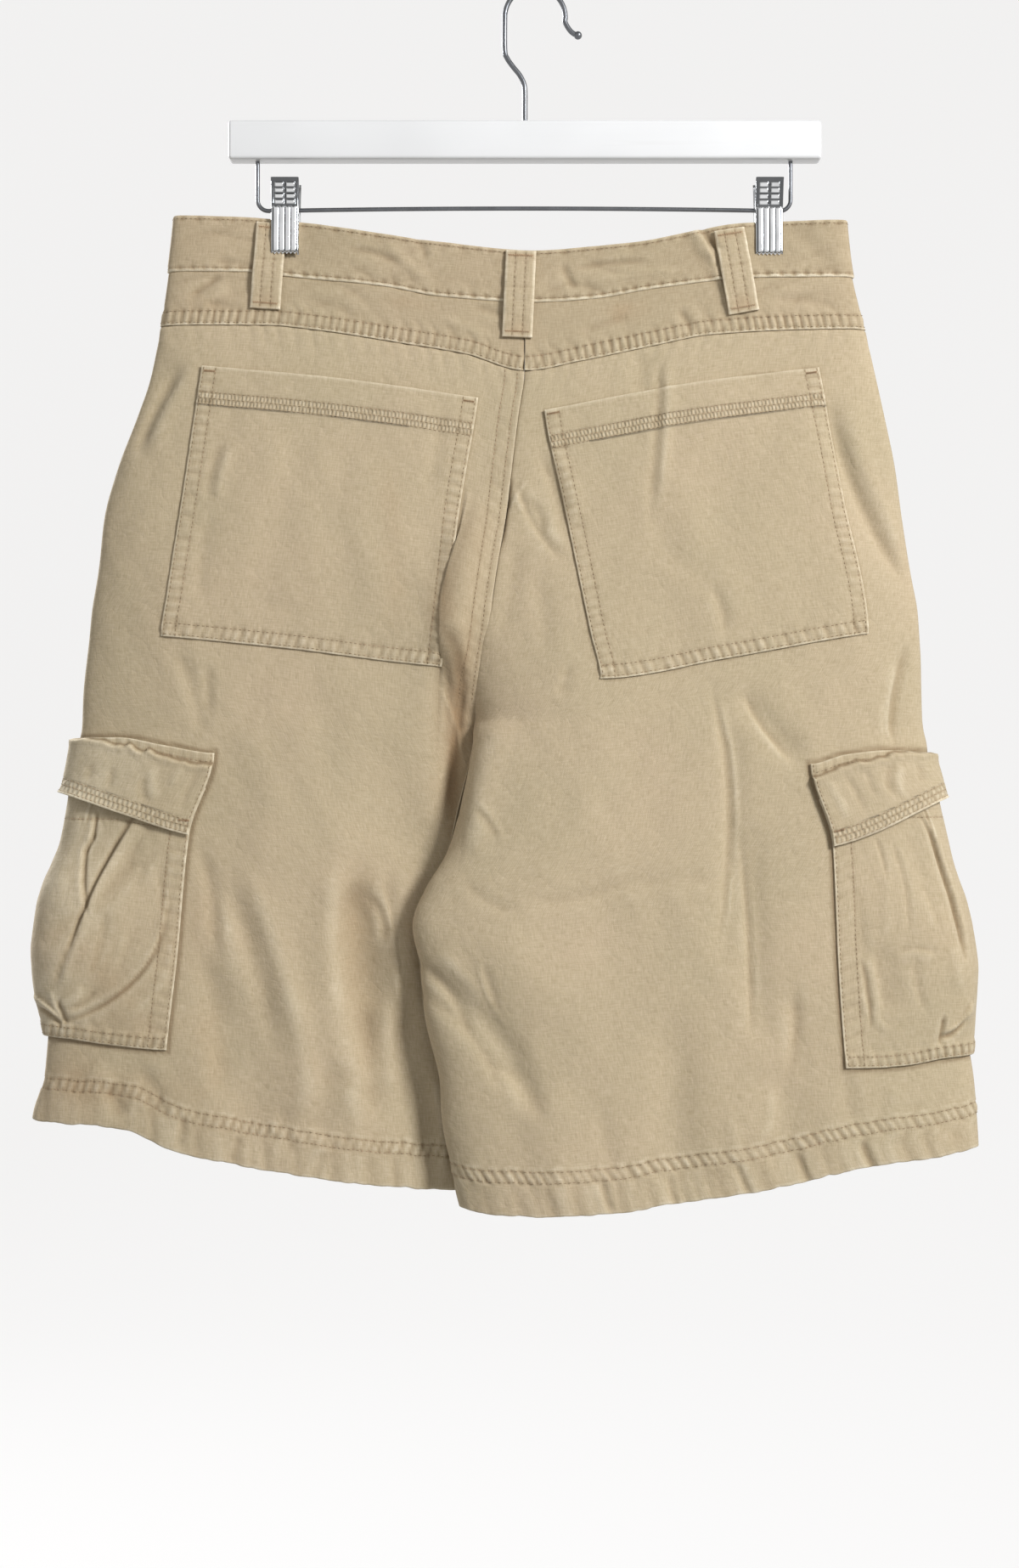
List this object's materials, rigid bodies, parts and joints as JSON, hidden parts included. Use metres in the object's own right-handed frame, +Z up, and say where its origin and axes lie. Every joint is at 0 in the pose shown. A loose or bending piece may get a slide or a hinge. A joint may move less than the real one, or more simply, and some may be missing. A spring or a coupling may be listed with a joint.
{
  "type": "cargo shorts on a trouser hanger",
  "caption": "Men's cotton cargo shorts, clipped flat by the waistband to a wooden trouser hanger with a wire hook, seen from behind.",
  "frame": {"origin": "inner top of the hanger's hook loop, where it rests on the knob, peg or rail that holds it", "axes": "+Z up, -Y the side towards the viewer, which is the back of the shorts, +X to that viewer's right, which is the wearer's right"},
  "size_m": [0.6085, 0.0736, 0.7864],
  "materials": {
    "khaki_twill": "washed matt cotton twill, worn pale at the seams",
    "horn_button": "satin",
    "painted_wood": "white paint, satin",
    "hanger_steel": "drawn wire, satin",
    "clip_chrome": "bright plate"
  },
  "bodies": {
    "root": {"back_left": "khaki_twill", "back_right": "khaki_twill", "front_left": "khaki_twill", "front_right": "khaki_twill", "yoke_left": "khaki_twill", "yoke_right": "khaki_twill", "waistband": "khaki_twill", "back_pocket_left": "khaki_twill", "back_pocket_right": "khaki_twill", "cargo_pocket_left": "khaki_twill", "cargo_pocket_right": "khaki_twill", "cargo_flap_left": "khaki_twill", "cargo_flap_right": "khaki_twill", "fly": "khaki_twill", "button": "horn_button", "belt_loop_back_left": "khaki_twill", "belt_loop_back_centre": "khaki_twill", "belt_loop_back_right": "khaki_twill", "belt_loop_front_left": "khaki_twill", "belt_loop_front_right": "khaki_twill", "hanger_bar": "painted_wood", "hanger_hook": "hanger_steel", "hanger_rod": "hanger_steel", "clip_left_outer_jaw": "clip_chrome", "clip_left_inner_jaw": "clip_chrome", "clip_left_barrel": "hanger_steel", "clip_right_outer_jaw": "clip_chrome", "clip_right_inner_jaw": "clip_chrome", "clip_right_barrel": "hanger_steel"}
  },
  "joints": []
}
